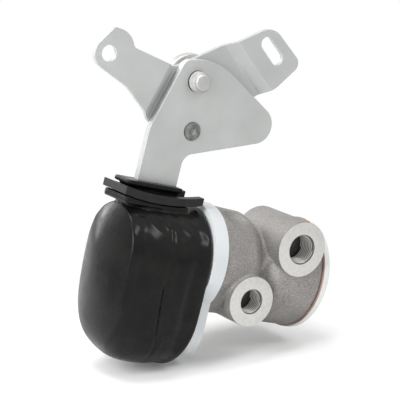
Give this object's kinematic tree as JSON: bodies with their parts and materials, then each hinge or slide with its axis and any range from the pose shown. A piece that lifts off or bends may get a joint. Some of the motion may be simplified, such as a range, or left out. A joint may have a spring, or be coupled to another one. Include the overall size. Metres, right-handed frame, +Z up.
{
  "type": "hydraulic load sensing valve",
  "caption": "Cast hydraulic valve with two threaded ports, a rubber boot and a sprung sheet lever that carries a clamped adjuster bracket.",
  "frame": {"origin": "centre of the mounting pad's face on the back of the casting", "axes": "+X along the valve's bore from the boot to the end cap, +Y out of the mounting pad, +Z up along the lever; the ports face -Y"},
  "size_m": [0.115, 0.0474, 0.1365],
  "materials": {
    "cast_aluminium": "satin",
    "cap_plastic": "satin",
    "white_plastic": "satin",
    "boot_rubber": "matte",
    "clip_plastic": "satin",
    "seal_rubber": "matte",
    "lever_steel": "satin",
    "plated_steel": "satin",
    "spring_steel": "satin",
    "bush_brass": "satin"
  },
  "bodies": {
    "valve": {"valve_body": "cast_aluminium", "end_cap": "cap_plastic", "end_plug": "plated_steel", "plug_seal": "seal_rubber", "boot_retainer": "white_plastic", "boot": "boot_rubber", "pivot_bracket": "plated_steel", "bracket_screws": "plated_steel", "lever_pin": "plated_steel", "pin_clips": "spring_steel", "pin_spacers": "plated_steel", "guide_bush": "bush_brass", "bush_ring": "spring_steel", "bush_seal": "seal_rubber", "stem_seal": "seal_rubber", "valve_spring": "spring_steel"},
    "lever": {"lever": "lever_steel", "adjuster_rivet": "plated_steel", "clamp_bolt": "plated_steel", "clamp_washer": "plated_steel", "neck_clip": "clip_plastic"},
    "adjuster": {"adjuster_bracket": "lever_steel"},
    "plunger": {"plunger": "plated_steel", "piston_seal": "seal_rubber", "spring_seat": "plated_steel"}
  },
  "joints": [
    {"name": "lever_pivot", "type": "hinge", "parent": "valve", "child": "lever", "pos_m": [-0.047, -0.025, -0.0325], "axis": [0, 1, 0], "range_deg": [0, 1.8], "stiffness_Nm_per_rad": 7.5, "springref_deg": -1.15, "deforming": ["boot"]},
    {"name": "plunger_slide", "type": "slide", "parent": "valve", "child": "plunger", "axis": [1, 0, 0], "range_m": [0, 0.00103], "deforming": ["valve_spring"]},
    {"name": "adjuster_turn", "type": "hinge", "parent": "lever", "child": "adjuster", "pos_m": [-0.0394, -0.025, 0.048], "axis": [0, -1, 0], "range_deg": [0, 4]}
  ],
  "couplings": [
    {"joint": "plunger_slide", "follows": "lever_pivot", "m_per_rad": 0.0325}
  ]
}
